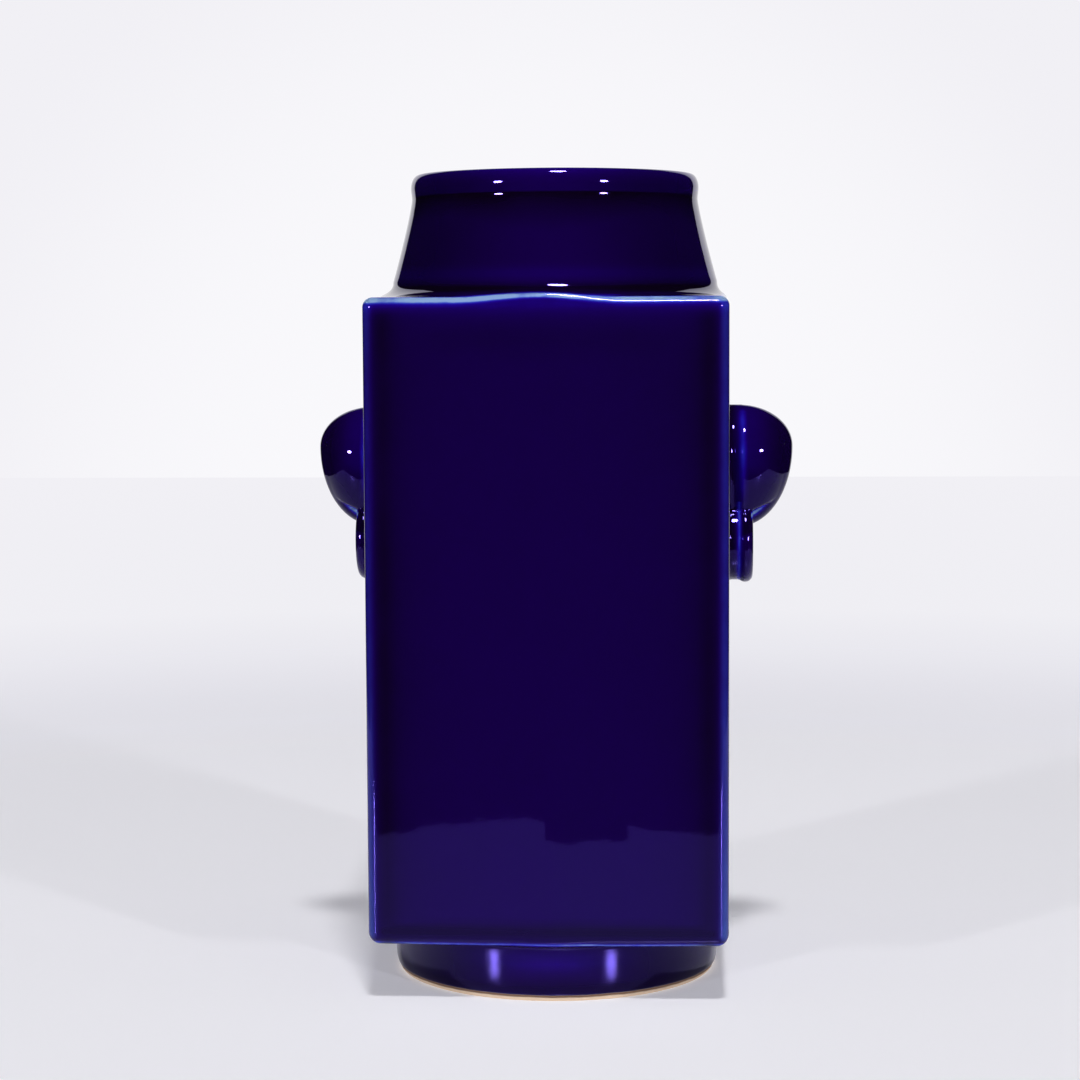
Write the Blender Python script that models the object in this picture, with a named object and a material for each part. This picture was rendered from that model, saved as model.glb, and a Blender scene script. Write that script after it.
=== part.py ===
"""Square cong-form porcelain vase, with a round neck, a foot ring and two elephant-head handles.

The vase stands on its foot ring at z = 0, with its axis on Z. The front face looks along -Y and the
handles are on the +X and -X faces. It was joined wet and fired as one piece, so it is one solid.
"""

import math

import bmesh
import bpy
from mathutils import Vector

MM = 0.001

# Square body
BODY_WIDTH = 125.8 * MM  # face to face, at the ends of the body
BODY_HEIGHT = 225.2 * MM
FACE_SWELL = 0.45 * MM  # how far the middle of each face stands proud
CORNER_RADIUS = 4.0 * MM  # upright corners
LEAST_CORNER = 0.4 * MM  # where a wider rounding has run past an upright corner
SHOULDER_EDGE = 3.5 * MM  # rounding round the shoulder
UNDER_EDGE = 4.5 * MM  # rounding round the underside
BODY_WALL = 5.0 * MM
FLOOR_WALL = 7.5 * MM
FLOOR_RISE = 4.0 * MM  # inside floor above the underside of the body
INNER_CORNER = 5.0 * MM

# Foot ring
FOOT_HEIGHT = 20.6 * MM
FOOT_SETBACK = 3.5 * MM  # foot wall inside the body's faces
FOOT_FILLET = 2.0 * MM
RIM_SETBACK = 1.8 * MM  # standing edge inside the foot wall
RIM_RISE = 4.5 * MM  # height of that rounded lower edge
RIM_WIDTH = 5.2 * MM  # flat bare ring that the vase stands on
FOOT_TAPER = 1.6 * MM  # how much the recess narrows towards the base

# Neck and lip
NECK_HEIGHT = 44.2 * MM
NECK_SETBACK = 4.1 * MM  # root of the neck inside the body's faces
ROOT_SPREAD = 10.5 * MM  # how far the root flares out over the shoulder
ROOT_WIPED = 4.5 * MM  # how much less it flares over the middle of the front and back
ROOT_RISE = 5.7 * MM  # height of that flare
LIP_RADIUS = 52.1 * MM
LIP_BEAD = 3.0 * MM  # radius of the rolled lip
WAIST_DEPTH = 0.35 * MM  # shallow groove under the lip
WAIST_DROP = 8.4 * MM  # from the top of the lip to that groove
NECK_WALL = 5.0 * MM
NECK_CURVE = 1.17  # 1 is a straight cone
ROOT_CURVE = 1.8  # 2 is an ellipse, less is closer to a chamfer

# Elephant-head handles
HEAD_HEIGHT = 191.8 * MM  # brow, above the standing rim
HEAD_REACH = 23.7 * MM  # brow, beyond the face
HEAD_CROWN = 15.0 * MM  # brow to crown
CROWN_POINT = 1.5  # 1 is an egg, more is a more pointed crown
HEAD_WIDTH = 29.0 * MM
CHEEK_DROP = 2.8 * MM  # brow to the widest level of the head, at the ears
EAR_STANDOFF = 5.5 * MM  # back edge of the ears, beyond the face
EAR_GROOVE = 1.8 * MM  # undercut behind the ears
JAW_DROP = 23.8 * MM  # brow to the lower edge of the cheeks, at the wall
JAW_SLOPE = 21.0  # degrees that the lower edge climbs outwards
TRUNK_DROP = 29.6 * MM  # brow to the lowest point of the trunk
TRUNK_WIDTH = 9.0 * MM
FACE_WIDTH = 12.5 * MM  # width of the face between the ears, at the brow
FACE_RAISE = 0.7 * MM  # how far the face stands out from between the ears
TRUNK_THICKNESS = 6.4 * MM

# Rings held by the trunks
RING_DIAMETER = 29.4 * MM
RING_THICKNESS = 5.6 * MM
RING_STANDOFF = 3.4 * MM  # back of the ring, beyond the face
RING_HANG = 3.6 * MM  # top of the ring above the underside of the trunk's tip
RING_SEAT = 1.0 * MM  # how far the luting web stays inside the ring's outline

# Fineness of the facets
SIDE_END = math.radians(41)  # angle about the axis where a flat side meets its corner
SIDE_STEPS = 12
CORNER_STEPS = 2
EDGE_STEPS = 3
HANDLE_STEPS = 24
TRUNK_STEPS = 12
RING_STEPS = 28

HALF = BODY_WIDTH / 2
BODY_BOTTOM = FOOT_HEIGHT
BODY_TOP = BODY_BOTTOM + BODY_HEIGHT
VASE_HEIGHT = BODY_TOP + NECK_HEIGHT
INSIDE_HALF = HALF - BODY_WALL
INSIDE_FLOOR = BODY_BOTTOM + FLOOR_RISE
INSIDE_TOP = BODY_TOP - BODY_WALL
FOOT_RADIUS = HALF - FOOT_SETBACK
RIM_RADIUS = FOOT_RADIUS - RIM_SETBACK
NECK_RADIUS = HALF - NECK_SETBACK
ROOT_TOP = BODY_TOP + ROOT_RISE
WAIST_RADIUS = LIP_RADIUS - WAIST_DEPTH
WAIST_TOP = VASE_HEIGHT - WAIST_DROP
LIP_CENTRE = VASE_HEIGHT - LIP_BEAD


def columns():
    """Angle of every column of the shell, with a close group of them at each upright corner."""
    corner = [(SIDE_END, step / CORNER_STEPS) for step in range(1, CORNER_STEPS)]
    side = [(SIDE_END * (2 * step / SIDE_STEPS - 1), 0.0) for step in range(SIDE_STEPS + 1)]
    left = [(-angle, turn) for angle, turn in reversed(corner)]
    quarter = [(-SIDE_END, 1.0)] + left + side + corner
    return [(face * math.pi / 2, angle, turn) for face in range(4) for angle, turn in quarter]


COLUMNS = columns()


def turned(face, along, out):
    """A point given along and out from one of the four faces, as x and y."""
    return (
        out * math.sin(face) + along * math.cos(face),
        -out * math.cos(face) + along * math.sin(face),
    )


def on_circle(column, radius, z):
    """A point of a level circle. The columns of a corner share out the angle that its sides leave."""
    face, angle, turn = COLUMNS[column]
    angle += math.copysign((math.pi / 4 - SIDE_END) * turn, angle) if abs(angle) == SIDE_END else 0.0
    x, y = turned(face, radius * math.sin(angle), radius * math.cos(angle))
    return Vector((x, y, z))


def on_square(column, half, corner, z, inset=0.0):
    """A point of a square with rounded corners, moved inwards by inset along its own normal."""
    face, angle, turn = COLUMNS[column]
    swing = math.copysign(math.pi / 4 * turn, angle)
    reach = max(corner - inset, LEAST_CORNER)
    flat = half - inset - reach
    along = flat * math.tan(angle) / math.tan(SIDE_END) + reach * math.sin(swing)
    out = flat + reach * math.cos(swing)
    x, y = turned(face, along, out)
    return Vector((x, y, z))


def root_flare(point):
    """Height of the shoulder at a point, where the neck's root spreads over it."""
    radius = math.hypot(point.x, point.y)
    spread = ROOT_SPREAD - ROOT_WIPED * (abs(point.y) / radius) ** 5
    share = min(1.0, max(0.0, (NECK_RADIUS + spread - radius) / spread))
    return ROOT_TOP - ROOT_RISE * (1 - share**ROOT_CURVE) ** (1 / ROOT_CURVE)


def foot_flare(point):
    """Height of the underside, where it turns down into the foot wall."""
    radius = math.hypot(point.x, point.y)
    share = min(1.0, max(0.0, (FOOT_RADIUS + FOOT_FILLET - radius) / FOOT_FILLET))
    return BODY_BOTTOM - FOOT_FILLET * (1 - math.sqrt(1 - share**2))


BALL_STEPS = 30


def edge_ball(column, radius, surface, side):
    """Rolls a ball along the edge, inside the clay: its height, and the angle where it leaves the edge.

    surface gives the height of the shoulder or underside; side is 1 for the top edge and -1 for the
    lower one.
    """
    best = None
    for step in range(BALL_STEPS + 1):
        lean = math.pi / 2 * step / BALL_STEPS
        point = on_square(column, HALF, CORNER_RADIUS, 0.0, radius * (1 - math.cos(lean)))
        height = side * surface(point) - radius * math.sin(lean)
        if best is None or height < best[0]:
            best = (height, lean)
    return side * best[0], best[1]


def on_edge(column, radius, surface, side, share):
    """A point of the rounded edge: share 0 is on the face, 1 where the rounding ends."""
    centre, lean = edge_ball(column, radius, surface, side)
    angle = lean * share
    inset = radius * (1 - math.cos(angle))
    return on_square(column, HALF, CORNER_RADIUS, centre + side * radius * math.sin(angle), inset)


def on_ledge(column, radius, surface, side, inner, share):
    """A point between the rounded edge and the circle of radius inner, on the given surface."""
    start = on_edge(column, radius, surface, side, 1.0)
    end = on_circle(column, inner, 0.0)
    point = start.lerp(end, share)
    point.z = surface(point)
    return point


def on_face(column, share):
    """A point of the swelling side face; share runs from the lower edge to the upper one."""
    low = on_edge(column, UNDER_EDGE, foot_flare, -1, 0.0)
    high = on_edge(column, SHOULDER_EDGE, root_flare, 1, 0.0)
    point = low.lerp(high, share)
    face, angle, turn = COLUMNS[column]
    swell = FACE_SWELL * math.sin(math.pi * share)
    x, y = turned(face, 0.0, swell * math.cos(math.pi / 2 * angle / SIDE_END))
    return point + Vector((x, y, 0.0))


def neck_radius(z):
    """Outer radius of the neck between its flared root and the groove under the lip."""
    share = (WAIST_TOP - z) / (WAIST_TOP - ROOT_TOP)
    return WAIST_RADIUS + (NECK_RADIUS - WAIST_RADIUS) * share**NECK_CURVE


def circle(radius, z):
    return lambda column: on_circle(column, radius, z)


def shell_rings():
    """Every ring of the shell in order: under the base, up the outside, over the lip, down inside."""
    recess_top = INSIDE_FLOOR - FLOOR_WALL
    recess_radius = RIM_RADIUS - RIM_WIDTH
    yield circle(recess_radius - FOOT_TAPER - FOOT_FILLET, recess_top)
    yield circle(recess_radius - FOOT_TAPER, recess_top - FOOT_FILLET)
    yield circle(recess_radius, 0.0)
    yield circle(RIM_RADIUS, 0.0)
    for share in (0.5, 1.0):
        swing = math.pi / 2 * share
        yield circle(RIM_RADIUS + RIM_SETBACK * math.sin(swing), RIM_RISE * share)
    yield circle(FOOT_RADIUS, BODY_BOTTOM - FOOT_FILLET)
    for share in (0.5, 0.0):
        yield lambda column, share=share: on_ledge(
            column, UNDER_EDGE, foot_flare, -1, FOOT_RADIUS, share
        )
    for step in range(EDGE_STEPS - 1, -1, -1):
        share = step / EDGE_STEPS
        yield lambda column, share=share: on_edge(column, UNDER_EDGE, foot_flare, -1, share)
    for share in (0.25, 0.5, 0.75):
        yield lambda column, share=share: on_face(column, share)
    for step in range(EDGE_STEPS + 1):
        share = step / EDGE_STEPS
        yield lambda column, share=share: on_edge(column, SHOULDER_EDGE, root_flare, 1, share)
    for share in (0.4, 0.75, 1.0):
        yield lambda column, share=share: on_ledge(
            column, SHOULDER_EDGE, root_flare, 1, NECK_RADIUS, share
        )
    for share in (0.3, 0.6, 0.85, 1.0):
        z = ROOT_TOP + (WAIST_TOP - ROOT_TOP) * share
        yield circle(neck_radius(z), z)
    for step in range(5):
        angle = math.pi * step / 4
        across = LIP_RADIUS - LIP_BEAD + LIP_BEAD * math.cos(angle)
        yield circle(across, LIP_CENTRE + LIP_BEAD * math.sin(angle))
    for share in (1.0, 0.5, 0.0):
        z = ROOT_TOP + (WAIST_TOP - ROOT_TOP) * share
        yield circle(neck_radius(z) - NECK_WALL, z)
    yield circle(NECK_RADIUS - NECK_WALL, INSIDE_TOP)
    for z, side in ((INSIDE_TOP, 1), (INSIDE_FLOOR, -1)):
        for share in (0.0, 0.5, 1.0)[:: side]:
            angle = math.pi / 2 * share
            drop = INNER_CORNER * (1 - math.cos(angle))
            inset = INNER_CORNER * (1 - math.sin(angle))
            yield lambda column, z=z - side * drop, inset=inset: on_square(
                column, INSIDE_HALF, INNER_CORNER, z, inset
            )
    yield circle(NECK_RADIUS - ROOT_SPREAD, INSIDE_FLOOR)


def extruded(bm, first, rings):
    """Extrudes a closed loop of vertices from ring to ring and returns the last loop's edges."""
    column = bm.verts.layers.int["column"]
    edges = [edge for edge in bm.edges if edge.is_wire]
    for vert in bm.verts:
        vert.co = first(vert[column])
    for ring in rings:
        grown = bmesh.ops.extrude_edge_only(bm, edges=edges)["geom"]
        for vert in (item for item in grown if isinstance(item, bmesh.types.BMVert)):
            vert.co = ring(vert[column])
        edges = [e for e in grown if isinstance(e, bmesh.types.BMEdge) and e.is_boundary]
    return edges


def loft(name, count, rings):
    """A closed mesh through rings of count vertices, capped at both ends."""
    bm = bmesh.new()
    column = bm.verts.layers.int.new("column")
    for index, vert in enumerate(bmesh.ops.create_circle(bm, segments=count)["verts"]):
        vert[column] = index
    rings = list(rings)
    extruded(bm, rings[0], rings[1:])
    bmesh.ops.holes_fill(bm, edges=[edge for edge in bm.edges if edge.is_boundary])
    caps = [face for face in bm.faces if len(face.verts) == count]
    bmesh.ops.poke(bm, faces=caps)
    bmesh.ops.recalc_face_normals(bm, faces=bm.faces)
    mesh = bpy.data.meshes.new(name)
    bm.to_mesh(mesh)
    bm.free()
    return mesh


def head_section(x, width, share):
    """A section of the head parallel to a side face: widest at the cheeks, with a pointed crown."""
    level = HEAD_HEIGHT - CHEEK_DROP * share

    def place(column):
        angle = 2 * math.pi * column / HANDLE_STEPS
        above = math.sin(angle) > 0
        tall = (HEAD_CROWN if above else -TRUNK_DROP) * share + HEAD_HEIGHT - level
        across = abs(math.cos(angle)) ** (CROWN_POINT if above else 1.0)
        across = math.copysign(across * width, math.cos(angle))
        return Vector((x, across, level + tall * abs(math.sin(angle))))

    return place


def head_rings():
    """Sections of an elephant's head from inside the wall, out over the ears to the brow."""
    width = HEAD_WIDTH / 2
    start = HALF - BODY_WALL / 2
    root = HALF + FACE_SWELL
    ear = HALF + EAR_STANDOFF
    centre = ear - EAR_GROOVE
    for x in (start, root):
        yield head_section(x, width - EAR_GROOVE / 2, 1.0)
    yield head_section((root + ear) / 2, width - EAR_GROOVE, 1.0)
    reach = HALF + HEAD_REACH - FACE_RAISE - centre
    first = math.asin((ear - centre) / reach)
    for step in range(7):
        angle = first + (math.radians(84) - first) * step / 6
        share = math.cos(angle)
        yield head_section(centre + reach * math.sin(angle), width * share, share)


def cut_jaw(mesh):
    """Cuts the egg-shaped head off below along the cheeks' sloping lower edge."""
    bm = bmesh.new()
    bm.from_mesh(mesh)
    slope = math.radians(JAW_SLOPE)
    bmesh.ops.bisect_plane(
        bm,
        geom=bm.verts[:] + bm.edges[:] + bm.faces[:],
        plane_co=(HALF, 0, HEAD_HEIGHT - JAW_DROP),
        plane_no=(math.sin(slope), 0, -math.cos(slope)),
        clear_outer=True,
    )
    bmesh.ops.holes_fill(bm, edges=[edge for edge in bm.edges if edge.is_boundary])
    bmesh.ops.recalc_face_normals(bm, faces=bm.faces)
    bm.to_mesh(mesh)
    bm.free()
    return mesh


def trunk_rings():
    """Sections of the face and trunk: over the forehead, down the outer curve, back into the wall."""
    half_thick = TRUNK_THICKNESS / 2
    centre = HALF + EAR_STANDOFF - EAR_GROOVE
    reach = HALF + HEAD_REACH - centre - half_thick

    def section(angle, inwards):
        drop = (TRUNK_DROP if angle > 0 else HEAD_CROWN) - half_thick
        out = Vector((math.cos(angle) * drop, 0, -math.sin(angle) * reach)).normalized()
        spine = Vector((centre + reach * math.cos(angle), 0, HEAD_HEIGHT - drop * math.sin(angle)))
        spine.x -= inwards
        half_wide = TRUNK_WIDTH / 2 + (FACE_WIDTH - TRUNK_WIDTH) / 2 * max(0.0, math.cos(angle)) ** 2

        def place(column):
            turn = 2 * math.pi * (column + 0.5) / TRUNK_STEPS
            return spine + Vector((0, half_wide * math.cos(turn), 0)) + out * half_thick * math.sin(turn)

        return place

    for step in range(13):
        yield section(math.radians(-60 + 150 * step / 12), 0.0)
    yield section(math.pi / 2, centre - HALF + BODY_WALL / 2)


def ring_mesh(name):
    """A ring in a plane parallel to the wall, with the web of clay that joins it to the wall."""
    thick = RING_THICKNESS / 2
    middle = (RING_DIAMETER - RING_THICKNESS) / 2
    top = HEAD_HEIGHT - TRUNK_DROP + TRUNK_THICKNESS + RING_HANG - RING_SEAT
    centre = Vector((HALF + RING_STANDOFF + thick, 0, top - RING_DIAMETER / 2))
    web = thick - RING_SEAT
    bm = bmesh.new()
    outline = [(HALF - BODY_WALL / 2, middle - web), (HALF - BODY_WALL / 2, middle + web)]
    for step in range(9):
        angle = math.radians(-132 + 264 * step / 8)
        outline.append((centre.x + thick * math.cos(angle), middle - thick * math.sin(angle)))
    verts = [bm.verts.new((x, 0, centre.z + out)) for x, out in outline]
    edges = [bm.edges.new((verts[i - 1], verts[i])) for i in range(len(verts))]
    bmesh.ops.spin(
        bm,
        geom=verts + edges,
        cent=centre,
        axis=(1, 0, 0),
        angle=2 * math.pi,
        steps=RING_STEPS,
        use_merge=True,
    )
    bmesh.ops.recalc_face_normals(bm, faces=bm.faces)
    mesh = bpy.data.meshes.new(name)
    bm.to_mesh(mesh)
    bm.free()
    return mesh


def glaze():
    """Deep cobalt-blue glaze."""
    material = bpy.data.materials.new("cobalt_glaze")
    material.use_nodes = True
    shader = material.node_tree.nodes["Principled BSDF"]
    shader.inputs["Base Color"].default_value = (0.008, 0.0, 0.09, 1)
    shader.inputs["Roughness"].default_value = 0.06
    shader.inputs["Metallic"].default_value = 0.0
    return material


def add_object(name, mesh, material):
    piece = bpy.data.objects.new(name, mesh)
    piece.data.materials.append(material)
    bpy.context.scene.collection.objects.link(piece)
    return piece


def add_pair(vase, name, mesh, material):
    """Joins a handle's piece to the vase, on both sides."""
    pair = add_object(name, mesh, material)
    pair.hide_render = True
    pair.display_type = "WIRE"
    mirror = pair.modifiers.new("other side", "MIRROR")
    mirror.use_mirror_merge = False
    mirror.merge_threshold = 0.00001
    join = vase.modifiers.new("join " + name, "BOOLEAN")
    join.operation = "UNION"
    join.solver = "EXACT"
    join.object = pair


def build():
    for old in list(bpy.data.objects):
        bpy.data.objects.remove(old, do_unlink=True)
    blue = glaze()
    vase = add_object("vase", loft("vase", len(COLUMNS), shell_rings()), blue)
    add_pair(vase, "head", cut_jaw(loft("head", HANDLE_STEPS, head_rings())), blue)
    add_pair(vase, "trunk", loft("trunk", TRUNK_STEPS, trunk_rings()), blue)
    add_pair(vase, "ring", ring_mesh("ring"), blue)
    vase.data.shade_smooth()
    vase.data.set_sharp_from_angle(angle=math.radians(35))


build()
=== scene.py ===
"""Finish and setting of the cobalt-blue square vase with elephant-head handles.

The order is the order in which the picture is set up and the vase is made: camera, table, backdrop,
lamps, glaze, body, handles.
"""

import math

import bmesh
import bpy
import numpy as np
from mathutils import Matrix, Vector


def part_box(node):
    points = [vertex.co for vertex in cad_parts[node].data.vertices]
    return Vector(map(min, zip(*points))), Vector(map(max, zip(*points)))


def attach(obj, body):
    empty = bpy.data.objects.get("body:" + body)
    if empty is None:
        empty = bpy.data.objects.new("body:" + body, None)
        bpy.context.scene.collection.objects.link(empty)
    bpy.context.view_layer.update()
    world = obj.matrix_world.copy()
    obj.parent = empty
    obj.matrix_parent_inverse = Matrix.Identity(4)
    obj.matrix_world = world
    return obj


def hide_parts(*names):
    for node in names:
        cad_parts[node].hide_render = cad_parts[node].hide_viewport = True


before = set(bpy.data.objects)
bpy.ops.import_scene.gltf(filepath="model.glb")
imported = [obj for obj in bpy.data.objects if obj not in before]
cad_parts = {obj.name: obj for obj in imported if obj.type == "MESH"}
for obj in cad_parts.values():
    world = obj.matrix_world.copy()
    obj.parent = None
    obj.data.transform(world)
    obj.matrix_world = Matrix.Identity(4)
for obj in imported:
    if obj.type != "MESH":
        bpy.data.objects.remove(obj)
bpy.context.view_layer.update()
vase_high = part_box("vase")[1]
MM = 0.001
scene = bpy.context.scene

# Camera
# A long lens stands nearly a metre in front of the vase, a little lower than its lip, and looks
# slightly down on it.
camera_data = bpy.data.cameras.new("camera")
camera_data.lens = 87.61
camera_data.sensor_width = 36.0
camera = bpy.data.objects.new("camera", camera_data)
camera.matrix_world = (
    Matrix.Translation((0.0484, -0.9595, 0.2381))
    @ Matrix.Rotation(0.0561, 4, "Z")
    @ Matrix.Rotation(math.pi / 2 - 0.0839, 4, "X")
    @ Matrix.Rotation(-0.0049, 4, "Z")
)
scene.collection.objects.link(camera)
scene.camera = camera
scene.view_settings.view_transform = "Standard"


# Table
# The vase stands on a pale matt sheet that runs back into the backdrop. Its front edge is less
# than half a metre away, and the glaze shows that edge as the border of the brighter blue low on
# the face.
class Link:
    """One output of a node. Arithmetic on it adds Math nodes, and node() adds any other node."""

    def __init__(self, socket):
        self.socket = socket

    def node(self, kind, settings, sockets, output=0):
        tree = self.socket.id_data
        made = tree.nodes.new("ShaderNode" + kind)
        for name, value in settings.items():
            if name == "stops":
                ramp = made.color_ramp.elements
                for index, (place, shade) in enumerate(value):
                    stop = ramp[index] if index < 2 else ramp.new(place)
                    stop.position, stop.color = place, shade
            else:
                setattr(made, name, value)
        for name, value in sockets.items():
            if isinstance(value, Link):
                tree.links.new(value.socket, made.inputs[name])
            else:
                made.inputs[name].default_value = value
        return Link(made.outputs[output]) if made.outputs else None

    def math(self, operation, *values, clamp=False):
        settings = {"operation": operation, "use_clamp": clamp}
        return self.node("Math", settings, dict(enumerate(values)))

    def __add__(self, other):
        return self.math("ADD", self, other)

    def __radd__(self, other):
        return self.math("ADD", other, self)

    def __sub__(self, other):
        return self.math("SUBTRACT", self, other)

    def __rsub__(self, other):
        return self.math("SUBTRACT", other, self)

    def __mul__(self, other):
        return self.math("MULTIPLY", self, other)

    def __rmul__(self, other):
        return self.math("MULTIPLY", other, self)

    def clamped(self):
        return self.math("ADD", self, 0.0, clamp=True)

    def smooth(self, start, end):
        """0 before start and 1 after end, with a soft passage between them."""
        limits = {"From Min": start, "From Max": end, "To Min": 0.0, "To Max": 1.0}
        settings = {"interpolation_type": "SMOOTHSTEP"}
        return self.node("MapRange", settings, {"Value": self, **limits})

    def mix(self, first, second):
        """The colour second where this is 1, and first where it is 0."""
        return self.node("Mix", {"data_type": "RGBA"}, {0: self, 6: first, 7: second}, 2)


def new_finish(name):
    """An empty material and a Link to its Object coordinates."""
    material = bpy.data.materials.new(name)
    material.use_nodes = True
    material.node_tree.nodes.clear()
    place = material.node_tree.nodes.new("ShaderNodeTexCoord")
    return material, Link(place.outputs["Object"])


def show(shader):
    """Makes shader the surface of its material."""
    shader.node("OutputMaterial", {}, {"Surface": shader})


def add_object(name, mesh, *materials):
    piece = bpy.data.objects.new(name, mesh)
    for material in materials:
        mesh.materials.append(material)
    scene.collection.objects.link(piece)
    return piece


def sheet(name, corners, material):
    """A flat sheet between its corners."""
    bm = bmesh.new()
    bm.faces.new([bm.verts.new(corner) for corner in corners])
    mesh = bpy.data.meshes.new(name)
    bm.to_mesh(mesh)
    bm.free()
    piece = add_object(name, mesh, material)
    return piece


TABLE_COLOUR = (0.80, 0.795, 0.83, 1)
TABLE_BOUNCE = (0.275, 0.272, 0.292, 1)  # light that the white room sends back into the shadows
TABLE_SHEEN = 0.22
TABLE_SIZE = 3.0
TABLE_FRONT = 0.375
TABLE_BACK = 1.0
TABLE_SIDE = 0.67
SHEET_GAP = 0.2 * MM  # keeps apart the three sheets that stand for the table
PALE = (0.880, 0.870, 0.912, 1)  # the backdrop, and the table where it reaches it
FAR_TABLE = [
    (0.15, (0.742, 0.735, 0.800, 1)),
    (0.24, (0.775, 0.768, 0.830, 1)),
    (0.40, (0.865, 0.858, 0.900, 1)),
    (1.0, PALE),
]
NEAR_END, FAR_START = 0.35, 0.95  # between these the table near the vase passes into the far one
EAVES_END, EAVES_CLEAR = 0.06, 0.135  # where the painted shade under the vase's eaves fades out
EAVES_SHADED_GLOW = (0.05, 0.05, 0.06, 1)


def table_shader(place, beyond):
    """The matt sheet near the vase, passing softly into the shader beyond."""
    away = place.node("VectorMath", {"operation": "LENGTH"}, {0: place}, 1)
    matt = place.node("BsdfDiffuse", {}, {"Color": TABLE_COLOUR, "Roughness": 0.6})
    bounce = place.node("Emission", {}, {"Color": TABLE_BOUNCE, "Strength": 1.0})
    lit = place.node("AddShader", {}, {0: matt, 1: bounce})
    passage = away.smooth(NEAR_END, FAR_START)
    return place.node("MixShader", {}, {0: passage, 1: lit, 2: beyond(away)})


def risen_sheet(away):
    """The far table, which gets lighter where it rises towards the backdrop."""
    tone = away.node("ValToRGB", {"stops": FAR_TABLE}, {0: away * (1 / TABLE_SIZE)})
    return away.node("Emission", {}, {"Color": tone, "Strength": 1.0})


def open_air(away):
    """Nothing, where the near table ends."""
    return away.node("BsdfTransparent", {}, {"Color": (1, 1, 1, 1)})


def square(half, z):
    return [(x * half, y * half, z) for x, y in ((-1, -1), (1, -1), (1, 1), (-1, 1))]


table_finish, place = new_finish("table_sheet")
show(table_shader(place, risen_sheet))
table = sheet("table", square(TABLE_SIZE, 0), table_finish)
table.visible_diffuse = table.visible_glossy = table.visible_shadow = False

# The same sheet as the matt light meets it, which throws light back up at the vase.
bounce_finish, place = new_finish("table_bounce")
show(table_shader(place, open_air))
bounce_sheet = sheet("table_bounce", square(TABLE_BACK, -SHEET_GAP), bounce_finish)
bounce_sheet.visible_camera = bounce_sheet.visible_glossy = False

# The part of the table that the glaze reflects. Its uneven edge lies in front of the vase, and its
# satin face smears the side lamps into bright streaks low on the upright edges and on the foot.
reflected_finish, place = new_finish("table_in_the_glaze")
# Under the vase's eaves the glow is dimmed into a painted shade.
beside = place.node("VectorMath", {"operation": "LENGTH"}, {0: place}, 1)
satin = {
    "Base Color": TABLE_COLOUR,
    "Roughness": TABLE_SHEEN,
    "IOR": 1.45,
    "Emission Color": beside.smooth(EAVES_END, EAVES_CLEAR).mix(EAVES_SHADED_GLOW, TABLE_BOUNCE),
    "Emission Strength": 1.0,
}
show(place.node("BsdfPrincipled", {}, satin))
mirrored = [
    (-TABLE_SIDE, -TABLE_FRONT), (-0.082, -TABLE_FRONT), (-0.081, -0.388), (-0.03, -0.388),
    (-0.017, -0.372), (-0.016, -0.336), (0.024, -0.336), (0.025, -TABLE_FRONT),
    (TABLE_SIDE, -TABLE_FRONT), (TABLE_SIDE, TABLE_BACK), (-TABLE_SIDE, TABLE_BACK),
]
mirrored = [(x, y, SHEET_GAP) for x, y in mirrored]
reflected = sheet("table_in_the_glaze", mirrored, reflected_finish)
reflected.visible_camera = reflected.visible_diffuse = reflected.visible_shadow = False

# Backdrop and room
# A lit white sheet hangs a metre behind the vase. The rest of the room is dark, so the front of the
# vase has little to mirror but the lamps and the table.
BACKDROP_GLOW = 0.95
BACKDROP_HEIGHT = 1.1
backdrop_finish, place = new_finish("backdrop")
show(place.node("Emission", {}, {"Color": (1, 0.99, 1, 1), "Strength": BACKDROP_GLOW}))
hung = ((-1, 0), (1, 0), (1, BACKDROP_HEIGHT), (-1, BACKDROP_HEIGHT))
backdrop_corners = [(x * TABLE_SIDE, TABLE_BACK, z) for x, z in hung]
backdrop = sheet("backdrop", backdrop_corners, backdrop_finish)
backdrop.visible_camera = backdrop.visible_diffuse = backdrop.visible_shadow = False

world = bpy.data.worlds.new("room")
world.use_nodes = True
world.node_tree.nodes.clear()
look = Link(world.node_tree.nodes.new("ShaderNodeTexCoord").outputs["Generated"])
ray = world.node_tree.nodes.new("ShaderNodeLightPath")
BRIGHTEST = (0.965, 0.960, 0.985, 1)
BEHIND_VASE = (-0.0559, 0.9965, -0.062)  # the way to the brightest part of the backdrop
ROOM_GLOW = (0.004, 0.004, 0.005, 1)
FILL_GLOW = (0.11, 0.11, 0.116, 1)
halo = look.node("VectorMath", {"operation": "DOT_PRODUCT"}, {0: look, 1: BEHIND_VASE}, 1)
pale = (halo.smooth(0.970, 0.9985) * 0.8).mix(PALE, BRIGHTEST)
seen = Link(ray.outputs["Is Camera Ray"])
soft = Link(ray.outputs["Is Diffuse Ray"])
room = seen.mix(soft.mix(ROOM_GLOW, FILL_GLOW), pale)
glow = room.node("Background", {}, {"Color": room, "Strength": 1.0})
glow.node("OutputWorld", {}, {"Surface": glow})
scene.world = world


# Lamps
# A softbox hangs above and slightly in front. Two small lamps stand low at either side of the
# camera and leave the pairs of small bright spots on the lip, the neck and the handles.
LAMP_DISTANCE = 3.2
LAMP_AIM = Vector((0, 0, vase_high.z * 0.6))


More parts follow.
